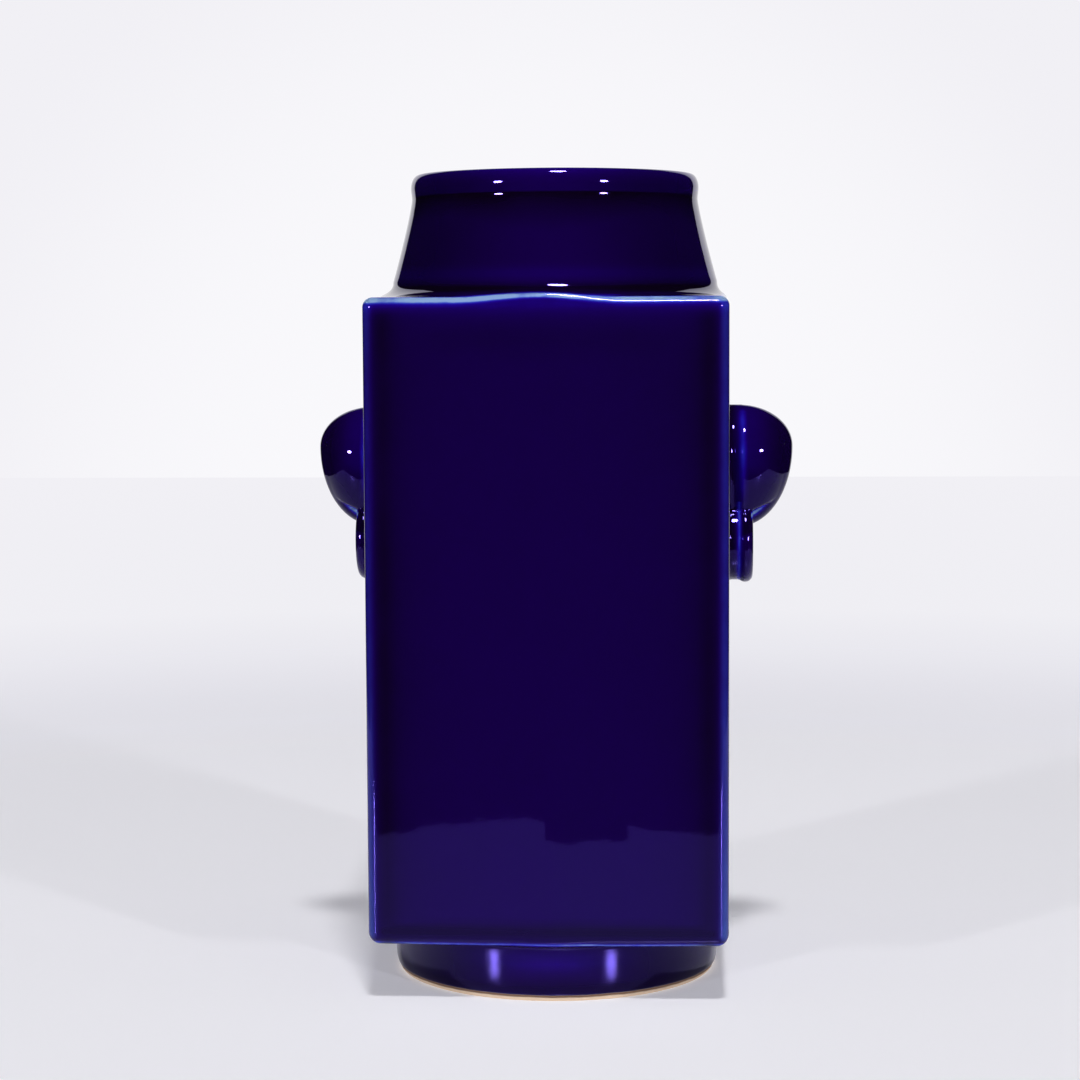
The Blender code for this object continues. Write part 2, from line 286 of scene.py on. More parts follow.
def add_lamp(name, toward, lift, wide, tall, radiance, shape, lights):
    """A lamp at a compass angle from the front, right positive, and at lift degrees above level.

    Its width and height are given as the vase sees them, in degrees. Each lamp is made twice, once
    to light matt surfaces and once to shine in the glaze, because the flash heads were far
    brighter in their middle than the light they threw.
    """
    data = bpy.data.lights.new(name, "AREA")
    data.shape = shape
    data.size = 2 * LAMP_DISTANCE * math.tan(math.radians(wide) / 2)
    data.size_y = 2 * LAMP_DISTANCE * math.tan(math.radians(tall) / 2)
    part = math.pi / 4 if shape == "ELLIPSE" else 1.0
    data.energy = radiance * math.pi * data.size * data.size_y * part
    turn, rise = math.radians(toward), math.radians(lift)
    level = math.cos(rise)
    away = Vector((math.sin(turn) * level, -math.cos(turn) * level, math.sin(rise)))
    lamp = bpy.data.objects.new(name, data)
    facing = away.to_track_quat("Z", "Y").to_matrix().to_4x4()
    lamp.matrix_world = Matrix.Translation(away * LAMP_DISTANCE + LAMP_AIM) @ facing
    lamp.visible_camera = False
    lamp.visible_diffuse = lights == "matt"
    lamp.visible_glossy = lights == "gloss"
    scene.collection.objects.link(lamp)


add_lamp("softbox_light", 7.2, 63.0, 5.5, 5.0, 166.0, "RECTANGLE", "matt")
add_lamp("softbox_shine", 7.2, 64.0, 9.5, 9.0, 170.0, "ELLIPSE", "gloss")
add_lamp("left_light", -40.0, 7.0, 2.5, 2.5, 310.0, "ELLIPSE", "matt")
add_lamp("right_light", 40.0, 7.0, 2.5, 2.5, 310.0, "ELLIPSE", "matt")
add_lamp("left_shine", -41.8, 7.0, 6.5, 6.5, 230.0, "ELLIPSE", "gloss")
add_lamp("right_shine", 41.2, 7.0, 6.5, 6.5, 230.0, "ELLIPSE", "gloss")


# Glaze
# Cobalt-blue glaze over white porcelain. It is deep blue where it lies thick, darker beside the
# edges where it gathered, and pale blue where it ran thin over every edge. Painted shade darkens
# the neck and the foot towards the corners and the hollows of the handles, a painted highlight
# lies high on the foot, and a painted reflection of the table pales the lower upright edges.
# White glaze covers the inside and the base, and the standing rim is bare biscuit with a thin
# brown line along the glaze.
GLAZE_BY_THINNESS_AND_SHEEN = [
    (0.0, (0.0102, 0.0003, 0.0766, 1)),
    (0.2, (0.0145, 0.0004, 0.165, 1)),
    (0.4, (0.018, 0.002, 0.35, 1)),
    (0.6, (0.025, 0.017, 0.60, 1)),
    (0.8, (0.075, 0.12, 0.80, 1)),
    (1.0, (0.36, 0.56, 0.96, 1)),
]
POOLED_AND_SHADED_BLUE = (0.0045, 0.0008, 0.0105, 1)
WORN_AND_REFLECTED_BLUE = (0.15, 0.35, 0.74, 1)
WHITE_GLAZE = (0.80, 0.83, 0.83, 1)
BISCUIT = (0.90, 0.68, 0.47, 1)
BROWN_LINE = (0.20, 0.085, 0.035, 1)
PALE_BISCUIT = (0.98, 0.80, 0.60, 1)
BARE_HEIGHT = 2.3 * MM
LINE_WAVER = 0.6 * MM  # how much the glaze's lower end wavers up and down
FOOT_START, FOOT_END = 17 * MM, 21 * MM  # the foot is duller, and passes into the body here
SKIN_RELIEF = 0.2 * MM

glaze, place = new_finish("cobalt_glaze_finish")


def kept(name):
    """A value that the vase's pieces keep at each of their points."""
    return place.node("Attribute", {"attribute_name": name}, {}, 2)


def cloud(scale, detail, shift=0.0):
    """Soft noise around 0, with scale lumps to the metre."""
    way = (shift, shift / 2, -shift)
    moved = place.node("VectorMath", {"operation": "ADD"}, {0: place, 1: way})
    return place.node("TexNoise", {}, {"Vector": moved, "Scale": scale, "Detail": detail}) - 0.5


# Thinness also carries a painted highlight on the foot and a painted reflection on the edges.
thin_and_sheen = kept("thin_and_sheen")
inside = kept("inside")
drift = cloud(24.0, 2.0)
mottle = cloud(160.0, 3.0, 0.37)
thinness_and_sheen = (thin_and_sheen * (1.0 + mottle * 0.5 + drift * 0.7)).clamped()
blue = thinness_and_sheen.node("ValToRGB", {"stops": GLAZE_BY_THINNESS_AND_SHEEN}, {0: thinness_and_sheen})
# Pooled glaze and painted shade darken the blue towards its darkest.
depth_and_shade = (kept("pooled_and_shaded") * (1.0 + drift * 0.4) + drift * 0.22 + mottle * 0.10).clamped()
blue = depth_and_shade.mix(blue, POOLED_AND_SHADED_BLUE)
# Worn glaze and a painted reflection of the table pale the upright edges.
blue = (kept("worn_and_reflected") * (1.0 + drift * 1.5 + mottle * 0.6)).clamped().mix(blue, WORN_AND_REFLECTED_BLUE)

swell = cloud(30.0, 1.0, 0.11)
wave = cloud(90.0, 1.0, 0.83)
pitted = cloud(520.0, 2.0, 0.53)
skin = swell + wave * 0.18 + mottle * 0.05 + pitted * 0.016
height = place.node("SeparateXYZ", {}, {0: place}, 2)
foot = 1.0 - height.smooth(FOOT_START, FOOT_END)
surface = place.node("Bump", {}, {"Height": skin, "Strength": 1.0, "Distance": SKIN_RELIEF})
blue_shader = place.node(
    "BsdfPrincipled",
    {},
    {
        "Base Color": blue,
        "Roughness": 0.035 + foot * 0.06 + thin_and_sheen * 0.03,
        "IOR": 1.62,
        "Specular Tint": (0.22, 0.148, 1.0, 1),
        "Normal": surface,
    },
)

line = height + cloud(140.0, 2.0, 0.71) * LINE_WAVER
bare = 1.0 - line.smooth(BARE_HEIGHT - 0.1 * MM, BARE_HEIGHT + 0.1 * MM)
burnt = bare * line.smooth(BARE_HEIGHT - 1.1 * MM, BARE_HEIGHT - 0.6 * MM)
grain = (0.5 + cloud(2600.0, 3.0, 0.29) * 0.5).clamped()
clay = (burnt * 0.95).mix(grain.mix(BISCUIT, PALE_BISCUIT), BROWN_LINE)
pale_shader = place.node(
    "BsdfPrincipled",
    {},
    {
        "Base Color": bare.mix(WHITE_GLAZE, clay),
        "Roughness": 0.07 + bare * 0.55,
        "Normal": surface,
    },
)
lined = (inside + mottle * 0.25 * inside).smooth(0.42, 0.58)
unblue = (lined + bare).clamped()
show(place.node("MixShader", {}, {0: unblue, 1: blue_shader, 2: pale_shader}))


# Body
# The square body was luted together from slabs. A thrown foot ring and neck were set on it while
# the clay was damp, and every join was smoothed. The faces swell a little, the lip is a rolled
# bead, and the vase is hollow from the lip down to its floor.
FACE_SWELL = 0.45 * MM
HALF = vase_high.y - FACE_SWELL
VASE_HEIGHT = vase_high.z
CORNER_RADIUS = 4.0 * MM
LEAST_CORNER = 0.4 * MM
SHOULDER_EDGE = 3.5 * MM
UNDER_EDGE = 4.5 * MM
BODY_BOTTOM = 20.6 * MM
BODY_TOP = VASE_HEIGHT - 44.2 * MM
FOOT_RADIUS = HALF - 3.5 * MM
FOOT_FILLET = 2.0 * MM
UNDER_SAG = 0.6 * MM  # the underside sank a little between the corners
NECK_RADIUS = HALF - 4.1 * MM
NECK_SHIFT = 0.5 * MM  # the neck was luted on a little off the middle
ROOT_SPREAD = 10.5 * MM
ROOT_WIPED = 4.5 * MM  # how much less the root spreads over the front and back
ROOT_UNEVEN = 1.6 * MM  # the front was wiped more on the right
ROOT_RISE = 5.7 * MM
ROOT_TOP = BODY_TOP + ROOT_RISE
LIP_RADIUS = 52.1 * MM
LIP_THICKNESS = 2.8 * MM
LIP_RISE = 4.8 * MM
LIP_CENTRE = VASE_HEIGHT - LIP_RISE
WAIST_RADIUS = 51.75 * MM
WAIST_TOP = VASE_HEIGHT - 9.0 * MM
NECK_CURVE = 1.17
WALL = 5.0 * MM
INSIDE_HALF = HALF - WALL
INSIDE_FLOOR = BODY_BOTTOM + 4.0 * MM
INSIDE_TOP = BODY_TOP - WALL
INNER_CORNER = 5.0 * MM
INNER_FILLET = 1.5 * MM
RECESS_TOP = INSIDE_FLOOR - 7.5 * MM
RECESS_RADIUS = 52.4 * MM
RECESS_TAPER = 1.6 * MM

SIDE_END = math.radians(41)  # seen from the axis, where a face ends and the corner starts
SIDE_STEPS = 44
CORNER_STEPS = 6
EDGE_STEPS = 14
LIP_STEPS = 16
BALL_STEPS = 180


def body_columns():
    """Columns round the body: face, angle from its middle, and how far round the corner."""
    ends = [(SIDE_END, step / CORNER_STEPS) for step in range(1, CORNER_STEPS)]
    spread = [math.sin(math.pi / 2 * (2 * step / SIDE_STEPS - 1)) for step in range(SIDE_STEPS + 1)]
    side = [(SIDE_END * share, 0.0) for share in spread]
    left = [(-angle, turn) for angle, turn in reversed(ends)]
    quarter = [(-SIDE_END, 1.0)] + left + side + ends
    return [(face * math.pi / 2, angle, turn) for face in range(4) for angle, turn in quarter]


COLUMNS = body_columns()


def turned(face, along, out):
    """A point given along and out from one of the four faces, as x and y."""
    return (
        out * math.sin(face) + along * math.cos(face),
        -out * math.cos(face) + along * math.sin(face),
    )


def on_circle(column, radius, z, shift=0.0):
    face, angle, turn = COLUMNS[column]
    angle += math.copysign((math.pi / 4 - SIDE_END) * turn, angle)
    x, y = turned(face, radius * math.sin(angle), radius * math.cos(angle))
    return Vector((x + shift, y, z))


def on_square(column, half, corner, z, inset=0.0):
    """A point of a square with rounded corners, moved inwards by inset along its own normal."""
    face, angle, turn = COLUMNS[column]
    swing = math.copysign(math.pi / 4 * turn, angle)
    reach = max(corner - inset, LEAST_CORNER)
    flat = half - inset - reach
    along = flat * math.tan(angle) / math.tan(SIDE_END) + reach * math.sin(swing)
    x, y = turned(face, along, flat + reach * math.cos(swing))
    return Vector((x, y, z))


def root_flare(point):
    """Height of the shoulder, where the neck's root spreads over it."""
    radius = math.hypot(point.x, point.y)
    toward = abs(point.y) / radius
    spread = ROOT_SPREAD - ROOT_WIPED * toward**5
    if point.y < 0:
        spread -= ROOT_UNEVEN * math.sin(2 * math.atan2(point.x, -point.y)) * toward**2
    curve = 2.3 - 0.8 * toward**2
    share = min(1.0, max(0.0, (NECK_RADIUS + spread - radius) / spread))
    return ROOT_TOP - ROOT_RISE * (1 - share**curve) ** (1 / curve)


def foot_flare(point):
    """Height of the underside, where it turns down into the foot."""
    radius = math.hypot(point.x, point.y)
    share = min(1.0, max(0.0, (FOOT_RADIUS + FOOT_FILLET - radius) / FOOT_FILLET))
    sag = UNDER_SAG * (1 - (min(abs(point.x), abs(point.y)) / HALF) ** 2)
    return BODY_BOTTOM - sag - FOOT_FILLET * (1 - math.sqrt(1 - share**2))


UNDER = (UNDER_EDGE, foot_flare, -1)  # the edge's radius, the surface beside it, and down or up
SHOULDER = (SHOULDER_EDGE, root_flare, 1)
edge_balls = {}


def edge_ball(column, radius, surface, side):
    """Height of a ball rolled along the edge inside the clay, and the angle where it leaves it."""
    if (column, side) not in edge_balls:
        best = None
        for step in range(BALL_STEPS + 1):
            lean = math.pi / 2 * step / BALL_STEPS
            point = on_square(column, HALF, CORNER_RADIUS, 0.0, radius * (1 - math.cos(lean)))
            level = side * surface(point) - radius * math.sin(lean)
            if best is None or level < best[0]:
                best = (level, lean)
        edge_balls[column, side] = (side * best[0], best[1])
    return edge_balls[column, side]


def on_edge(column, radius, surface, side, share):
    """A point of the rounded edge, from the face where share is 0 to the ledge where it is 1."""
    centre, lean = edge_ball(column, radius, surface, side)
    angle = lean * share
    inset = radius * (1 - math.cos(angle))
    return on_square(column, HALF, CORNER_RADIUS, centre + side * radius * math.sin(angle), inset)


def on_ledge(column, radius, surface, side, inner, share):
    """A point between the rounded edge and the foot or neck, on the given surface."""
    start = on_edge(column, radius, surface, side, 1.0)
    point = start.lerp(on_circle(column, inner, 0.0), share)
    point.z = surface(point)
    point.x += NECK_SHIFT * share * (side > 0)
    return point


def on_face(column, share):
    low_end = on_edge(column, *UNDER, 0.0)
    high_end = on_edge(column, *SHOULDER, 0.0)
    face, angle, turn = COLUMNS[column]
    bulge = FACE_SWELL * math.sin(math.pi * share) * math.cos(math.pi / 2 * angle / SIDE_END)
    x, y = turned(face, 0.0, bulge)
    return low_end.lerp(high_end, share) + Vector((x, y, 0.0))


def neck_radius(z):
    share = (WAIST_TOP - z) / (WAIST_TOP - ROOT_TOP)
    return WAIST_RADIUS + (NECK_RADIUS - WAIST_RADIUS) * share**NECK_CURVE


def circle(radius, z):
    shift = NECK_SHIFT if z > INSIDE_TOP else 0.0
    return lambda column: on_circle(column, radius, z, shift)


def shares(count, ease=1.0):
    """Steps from just after 0 to 1, closer together towards 1 where ease is above 1."""
    return [1 - (1 - step / count) ** ease for step in range(1, count + 1)]


def even_ends(count):
    """Steps strictly between 0 and 1, closer together at both ends."""
    return [(1 - math.cos(math.pi * step / count)) / 2 for step in range(1, count)]


FULL = 0.0  # how thin the glaze is, from its full thickness to 1 where it ran off an edge
SHOULDER_THIN = (
    0.30, 0.34, 0.42, 0.58, 0.80, 0.96, 1.0, 1.0, 1.0, 1.0, 0.98, 0.86, 0.68, 0.50, 0.36
)
LIP_THIN = 0.045
BLUE, WHITE = 0, 1  # the glaze of the outside, and of the inside and the base


def body_rings():
    """Every ring of the vase: where it runs, how thin its glaze is, and which glaze it has.

    They go from under the base up the outside, over the lip and down to the inner floor.
    """
    for radius in (12 * MM, 30 * MM, 44 * MM):
        yield circle(radius, RECESS_TOP), FULL, WHITE
    for share in (0.0, 0.25, 0.5, 0.75, 1.0):
        angle = math.pi / 2 * share
        radius = RECESS_RADIUS - RECESS_TAPER - FOOT_FILLET * (1 - math.sin(angle))
        yield circle(radius, RECESS_TOP - FOOT_FILLET * (1 - math.cos(angle))), FULL, WHITE
    for z, wide in ((9.0, 1.1), (5.0, 0.7), (3.2, 0.5), (2.2, 0.4), (1.2, 0.2), (0.6, 0.0)):
        yield circle(RECESS_RADIUS - wide * MM, z * MM), FULL, WHITE
    for wide, z in ((0.15, 0.2), (0.6, 0.0)):
        yield circle(RECESS_RADIUS + wide * MM, z * MM), FULL, WHITE
    foot_profile = (
        (-0.7, 0.0), (-0.25, 0.08), (0.0, 0.3), (0.35, 0.8), (0.62, 1.4), (0.8, 2.0), (0.86, 2.25),
        (1.08, 2.38), (1.25, 2.6), (1.42, 3.1), (1.62, 3.9), (1.8, 5.0), (1.92, 6.5), (2.0, 8.5),
        (2.0, 11.0), (2.0, 13.5), (2.0, 16.0),
    )
    for out, z in foot_profile:
        edge = 0.35 if BARE_HEIGHT < z * MM < 3.0 * MM else FULL
        yield circle(FOOT_RADIUS - (2.0 - out) * MM, z * MM), edge, BLUE
    yield circle(FOOT_RADIUS, BODY_BOTTOM - UNDER_SAG - FOOT_FILLET), FULL, BLUE
    for share in reversed([0.0] + shares(14, 2.0)[:-1]):
        yield (
            lambda column, share=share: on_ledge(column, *UNDER, FOOT_RADIUS, share)
        ), FULL, BLUE
    for step in range(EDGE_STEPS - 1, -1, -1):
        share = step / EDGE_STEPS
        pale = 0.86 * math.exp(-(((share - 0.6) / 0.15) ** 2))
        yield (
            lambda column, share=share: on_edge(column, *UNDER, share)
        ), pale, BLUE
    for share in even_ends(44):
        yield (lambda column, share=share: on_face(column, share)), FULL, BLUE
    for step, pale in enumerate(SHOULDER_THIN):
        share = step / EDGE_STEPS
        yield (
            lambda column, share=share: on_edge(column, *SHOULDER, share)
        ), pale, BLUE
    for share in shares(18, 1.7):
        yield (
            lambda column, share=share: on_ledge(column, *SHOULDER, NECK_RADIUS, share)
        ), FULL, BLUE
    for share in shares(20):
        z = ROOT_TOP + (WAIST_TOP - ROOT_TOP) * share
        yield circle(neck_radius(z), z), FULL, BLUE
    for share in shares(7):
        z = WAIST_TOP + (LIP_CENTRE - WAIST_TOP) * share
        rise = share * share * (3 - 2 * share)
        radius = WAIST_RADIUS + (LIP_RADIUS - WAIST_RADIUS) * rise
        yield circle(radius, z), LIP_THIN * min(1.0, share * 3), BLUE
    for step in range(1, LIP_STEPS + 1):
        angle = math.pi * step / LIP_STEPS
        across = LIP_RADIUS - LIP_THICKNESS + LIP_THICKNESS * math.cos(angle)
        height = LIP_CENTRE + LIP_RISE * math.sin(angle)
        wear = LIP_THIN + 0.25 * math.sin(angle) ** 2
        yield circle(across, height), wear, (WHITE if step > 12 else BLUE)
    for share in shares(14):
        z = WAIST_TOP + (ROOT_TOP - WAIST_TOP) * share
        yield circle(neck_radius(z) - WALL, z), FULL, WHITE
    for share in (0.5, 1.0):
        z = ROOT_TOP + (INSIDE_TOP + INNER_FILLET - ROOT_TOP) * share
        yield circle(NECK_RADIUS - WALL, z), FULL, WHITE
    for share in (0.5, 1.0):
        angle = math.pi / 2 * share
        radius = NECK_RADIUS - WALL + INNER_FILLET * (1 - math.cos(angle))
        yield circle(radius, INSIDE_TOP + INNER_FILLET * (1 - math.sin(angle))), FULL, WHITE
    for z, side in ((INSIDE_TOP, 1), (INSIDE_FLOOR, -1)):
        for step in range(7)[::side]:
            angle = math.pi / 2 * step / 6
            drop = INNER_CORNER * (1 - math.cos(angle))
            inset = INNER_CORNER * (1 - math.sin(angle))
            yield (
                lambda column, z=z - side * drop, inset=inset: on_square(
                    column, INSIDE_HALF, INNER_CORNER, z, inset
                )
            ), FULL, WHITE
    for radius in (44 * MM, 24 * MM, 8 * MM):
        yield circle(radius, INSIDE_FLOOR), FULL, WHITE


def thrown(name, count, rings):
    """A closed mesh through the rings, with the glaze's thickness and kind kept at each point."""
    bm = bmesh.new()
    column = bm.verts.layers.int.new("column")
    thin_and_sheen_layer = bm.verts.layers.float.new("thin_and_sheen")
    is_inside = bm.verts.layers.float.new("inside")
    for index, vert in enumerate(bmesh.ops.create_circle(bm, segments=count)["verts"]):
        vert[column] = index
    edges, verts = bm.edges[:], bm.verts[:]
    for index, (where, wear, white) in enumerate(rings):
        if index:
            grown = bmesh.ops.extrude_edge_only(bm, edges=edges)["geom"]
            verts = [item for item in grown if isinstance(item, bmesh.types.BMVert)]
            edges = [item for item in grown if isinstance(item, bmesh.types.BMEdge)]
            edges = [edge for edge in edges if edge.is_boundary]
        for vert in verts:
            vert.co = where(vert[column])
            vert[thin_and_sheen_layer] = wear
            vert[is_inside] = white
    bmesh.ops.holes_fill(bm, edges=[edge for edge in bm.edges if edge.is_boundary])
    bmesh.ops.poke(bm, faces=[face for face in bm.faces if len(face.verts) == count])
    bmesh.ops.recalc_face_normals(bm, faces=bm.faces)
    for face in bm.faces:
        face.smooth = True
    mesh = bpy.data.meshes.new(name)
    bm.to_mesh(mesh)
    bm.free()
    return mesh


body = add_object("vase_body", thrown("vase_body", len(COLUMNS), body_rings()), glaze)


def measured(items, name, width, kind=float):
    """One property of all items of a mesh as an array, width numbers for each item."""
    values = np.empty(len(items) * width, dtype=kind)
    items.foreach_get(name, values)
    return values.reshape(-1, width)


def keep(mesh, name, values):
    """Keeps a value at every point of a mesh, for the glaze."""
    mesh.attributes.new(name, "FLOAT", "POINT").data.foreach_set("value", values)


def bump(value, middle, width):
    """1 at the middle, and falling away softly over the width on either side."""
    return np.exp(-(((value - middle) / width) ** 2))


# Glaze gathers beside the upright edges, under the lip, in the root of the neck and above the rim.
# Painted shade darkens the neck and the foot towards the corners. The glaze runs thin down from the
# shoulder's edge, on the upright edges and where the neck starts. The upright edges pale towards
# the foot, partly worn glaze and partly a painted reflection of the table, the right-hand ones
# more, and a painted highlight lies high on the foot. The levels and widths of these passages are
# in millimetres.
WALL_BOTTOM, WALL_TOP = 20.7, 246.5
WALL_REACH = 58  # from the axis, where only the walls are
CORNER_START = 121.8  # sum of both reaches where an upright edge starts to round
SHOULDER_LEVEL = 242.4
NECK_LEVEL = 246.0
where = measured(body.data.vertices, "co", 3) / MM
across, up = np.sort(abs(where[:, :2]), axis=1).T, where[:, 2]
from_axis = np.hypot(where[:, 0], where[:, 1])
on_wall = (up > WALL_BOTTOM) & (up < WALL_TOP) & (across[1] > WALL_REACH)
from_corner = HALF / MM - CORNER_RADIUS / MM - across[0]
round_corner = (from_corner < 0.02) * (across[0] + across[1] - CORNER_START)
round_corner = np.clip(round_corner / 2.6, 0, 1)
below_edge = np.clip(SHOULDER_LEVEL - up, 0, None)
neck = (from_axis < 66) & (up > NECK_LEVEL)

inwards = np.clip(from_corner - 4.2, 0, None)
wall_gather = 0.45 * np.exp(-inwards / 3.2) + 0.30 * np.exp(-inwards / 17)
wall_gather = np.maximum(wall_gather, 0.22 * bump(below_edge, 11, 6))
wall_gather = np.maximum(wall_gather, bump(up, 25.8, 3.1))
wall_gather *= (1 - 0.55 * np.exp(-np.clip(from_corner, 0, None))) * (1 - round_corner)
wall_gather *= np.clip(below_edge / 3, 0.25, 1)
diagonal = np.sin(2 * np.arctan2(where[:, 0], where[:, 1])) ** 2
# Glaze gathers under the lip and the root; painted shade darkens the neck towards the corners.
neck_pooled_and_shade = np.maximum(np.clip((up - 268) / 13.5, 0, 1) * (up < 281.9), 0.42 * diagonal)
neck_pooled_and_shade += 0.85 * bump(up, 248.6, 1.6) * (from_axis > 57)
# Glaze gathers above the rim; painted shade darkens the foot towards the corners.
foot_pooled_and_shade = np.maximum(0.92 * np.clip((11.0 - up) / 6.0, 0, 1), 0.10 + 0.72 * diagonal)
foot_pooled_and_shade *= up > 2.2
# A painted highlight: a pale belt high on the middle of the foot.
foot_sheen = 0.24 * bump(up, 14.5, 3.0) * (1 - diagonal) * (from_axis < 62)
elsewhere = np.where(neck, neck_pooled_and_shade, np.where(up < 19, foot_pooled_and_shade, 0))
pooling_and_shade = np.where(on_wall, wall_gather, elsewhere)
toward_foot = np.exp(-np.clip(up - 25, 0, None) / 38)
on_right = where[:, 0] > 0  # the two right-hand edges are paler
# Partly a painted reflection of the table, which pales the edges towards the foot.
wall_thin_and_reflection = (0.41 + 0.10 * on_right + 0.12 * toward_foot) * round_corner
wall_thin_and_reflection = wall_thin_and_reflection + 0.20 * np.exp(-below_edge / 1.8) + 0.06 * np.exp(-below_edge / 5)
wall_thin_and_reflection = wall_thin_and_reflection + 0.03 * np.exp(-np.clip(from_corner, 0, None) / 1.6)
neck_thin = 0.11 * bump(up, 253.6, 2.4)
bare_and_sheen_parts = np.where(on_wall, wall_thin_and_reflection, neck_thin * neck + foot_sheen)
thinness_and_sheen = body.data.attributes["thin_and_sheen"].data
thinned_and_sheen = np.maximum(measured(thinness_and_sheen, "value", 1)[:, 0], bare_and_sheen_parts)
thinness_and_sheen.foreach_set("value", thinned_and_sheen)
# Worn glaze and a painted reflection of the table, most towards the foot.
toward_ends = np.exp(-np.clip(up - 40, 0, None) / 70)
toward_ends = toward_ends + 0.8 * np.exp(-np.clip(235 - up, 0, None) / 25)
worn_and_reflected = 0.035 + 0.04 * toward_ends + 0.28 * toward_foot
worn_and_reflected *= 0.9 * bump(round_corner, 1.0, 0.45) * on_wall * (1 + 0.7 * on_right)
keep(body.data, "pooled_and_shaded", pooling_and_shade)
keep(body.data, "worn_and_reflected", worn_and_reflected)
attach(body, "root")
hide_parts("vase")


# Handles
# A press-moulded elephant's head is luted on each side wall, with ears that stand off the wall. Its
# trunk curls down and back to the wall through a fixed ring, which a web of clay joins to the wall.
# The glaze ran thin on the rims of the ears, along the trunk and round the ring. Painted shade
# darkens the glaze behind the ears and inside the trunk's curl, and the lower cheeks and the outer
# head are painted darker.
HEAD_HEIGHT = 191.8 * MM
BROW = vase_high.x
HEAD_WIDTH = 14.5 * MM
HEAD_CROWN = 15.0 * MM
HEAD_DROP = 29.6 * MM
CHEEK_DROP = 2.8 * MM  # brow to the widest level of the head
CROWN_POINT = 1.5  # 1 is an ellipse
EAR_PLANE = HALF + 5.5 * MM
FACE_RAISE = 0.7 * MM
FACE_WIDTH = 6.3 * MM
TRUNK_WIDTH = 4.5 * MM
TRUNK_THICKNESS = 3.2 * MM
TRUNK_POINT = 1.1
JAW_PLANE = HALF + 2.9 * MM
JAW_HEIGHT = 168.2 * MM
JAW_CURVE = 0.0236 / MM
RING_RADIUS = 15.3 * MM
RING_THICKNESS = 2.8 * MM
RING_OUT = HALF + 6.2 * MM
RING_HEIGHT = 157.2 * MM
EYE_OUT = HALF + 20.6 * MM
EYE_SIDE = 7.0 * MM
EYE_HEIGHT = 193.8 * MM
LEFT_SCALE = 0.975  # the left handle came out of its mould a little smaller
LUTED_HEIGHT = 190 * MM
CLAY_GRAIN = 0.4 * MM
HEAD_CENTRE = EAR_PLANE - 1.8 * MM
HEAD_STEPS = 96
TRUNK_STEPS = 40
# How far out from the wall each section of the ears' back is, and how far in its side lies, in mm.
EAR_BACK = (
    (-3.0, 1.3), (0.2, 1.3), (0.9, 1.8), (1.7, 2.1), (2.5, 2.0), (3.3, 1.5), (4.0, 0.9),
    (4.7, 0.35), (5.2, 0.1),
)


def pinched(turn, power):
    """The cosine of an angle, raised to a power with its sign kept."""
    return math.copysign(abs(math.cos(turn)) ** power, math.cos(turn))


def head_section(x, width, share):
    """A section of the head parallel to the wall: widest at the cheeks, with a pointed crown."""
    level = HEAD_HEIGHT - CHEEK_DROP * share

    def where(column):
        angle = 2 * math.pi * column / HEAD_STEPS
        above = math.sin(angle) > 0
        tall = (HEAD_CROWN * share**0.9 if above else -HEAD_DROP * share) + HEAD_HEIGHT - level
        across = width * pinched(angle, CROWN_POINT if above else 1.0)
        return Vector((x, across, level + tall * abs(math.sin(angle))))

    return where


def head_rings():
    """Sections of the head, from inside the wall out over the ears to the brow."""
    reach = BROW - FACE_RAISE - HEAD_CENTRE
    for out, groove in EAR_BACK:
        yield head_section(HALF + out * MM, HEAD_WIDTH - groove * MM, 1.0), FULL, BLUE
    first = math.asin((EAR_PLANE - HEAD_CENTRE) / reach)
    for step in range(41):
        angle = first + (math.radians(88) - first) * step / 40
        share = math.cos(angle)
        out = HEAD_CENTRE + reach * math.sin(angle)
        yield head_section(out, HEAD_WIDTH * share, share), FULL, BLUE


def trunk_rings():
    """Sections of the face and trunk: over the forehead, down the outside, back into the wall."""
    reach = BROW - HEAD_CENTRE - TRUNK_THICKNESS

    def section(angle, inwards):
        drop = (HEAD_DROP if angle > 0 else HEAD_CROWN) - TRUNK_THICKNESS
        out = Vector((math.cos(angle) * drop, 0, -math.sin(angle) * reach)).normalized()
        spine = Vector((HEAD_CENTRE - inwards, 0, HEAD_HEIGHT))
        spine += Vector((math.cos(angle) * reach, 0, -math.sin(angle) * drop))
        half_wide = TRUNK_WIDTH + (FACE_WIDTH - TRUNK_WIDTH) * max(0.0, math.cos(angle)) ** 2

        def where(column):
            turn = 2 * math.pi * (column + 0.5) / TRUNK_STEPS
            across = pinched(turn, TRUNK_POINT) * half_wide
            proud = pinched(turn - math.pi / 2, TRUNK_POINT) * TRUNK_THICKNESS
            return spine + Vector((0, across, 0)) + out * proud

        return where

    for step in range(49):
        yield section(math.radians(-64 + 154 * step / 48), 0.0), FULL, BLUE
    yield section(math.pi / 2, HEAD_CENTRE - HALF + 3.0 * MM), FULL, BLUE


def cut_jaw(bm):
    """Pares the head off below, along the curved lower edge of the cheeks."""
    for step in range(9):
        out = step / 8 * 21 * MM
        slope = math.atan(2 * JAW_CURVE * out)
        bmesh.ops.bisect_plane(
            bm,
            geom=bm.verts[:] + bm.edges[:] + bm.faces[:],
            plane_co=(JAW_PLANE + out, 0, JAW_HEIGHT + JAW_CURVE * out * out),
            plane_no=(math.sin(slope), 0, -math.cos(slope)),
            clear_outer=True,
        )
        bmesh.ops.holes_fill(bm, edges=[edge for edge in bm.edges if edge.is_boundary])


